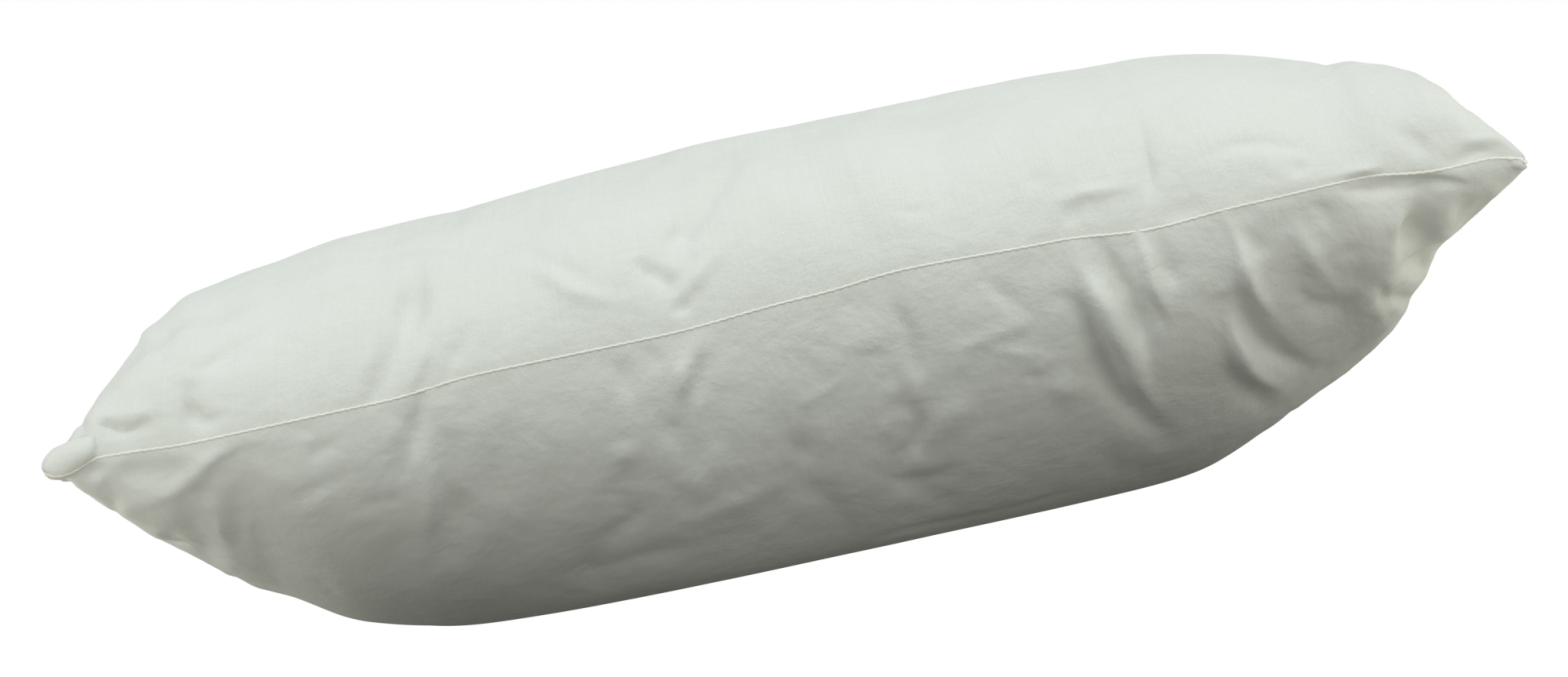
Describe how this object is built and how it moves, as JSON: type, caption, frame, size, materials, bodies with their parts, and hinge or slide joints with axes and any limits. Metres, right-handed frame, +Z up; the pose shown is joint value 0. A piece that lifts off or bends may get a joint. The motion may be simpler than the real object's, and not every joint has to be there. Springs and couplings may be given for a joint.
{
  "type": "filled cushion insert",
  "caption": "Plump oblong cushion insert of plain off-white cotton, crowned above and below a sewn edge seam, with drawn-in sides, pointed corners and soft folds.",
  "frame": {"origin": "on the surface that the cushion lies on, under the middle of its box", "axes": "+X along the cushion's length, from the blunt folded corner to the sharp one; +Y away from the long side that the picture shows; +Z up through the thickness"},
  "size_m": [0.484, 0.2821, 0.1436],
  "materials": {
    "cotton": "plain closely woven cotton, matt with a faint smooth sheen, creased and undyed",
    "seam_thread": "pale cream twisted sewing thread and turned cotton edge"
  },
  "bodies": {
    "root": {"cushion_body": "cotton"}
  },
  "joints": []
}
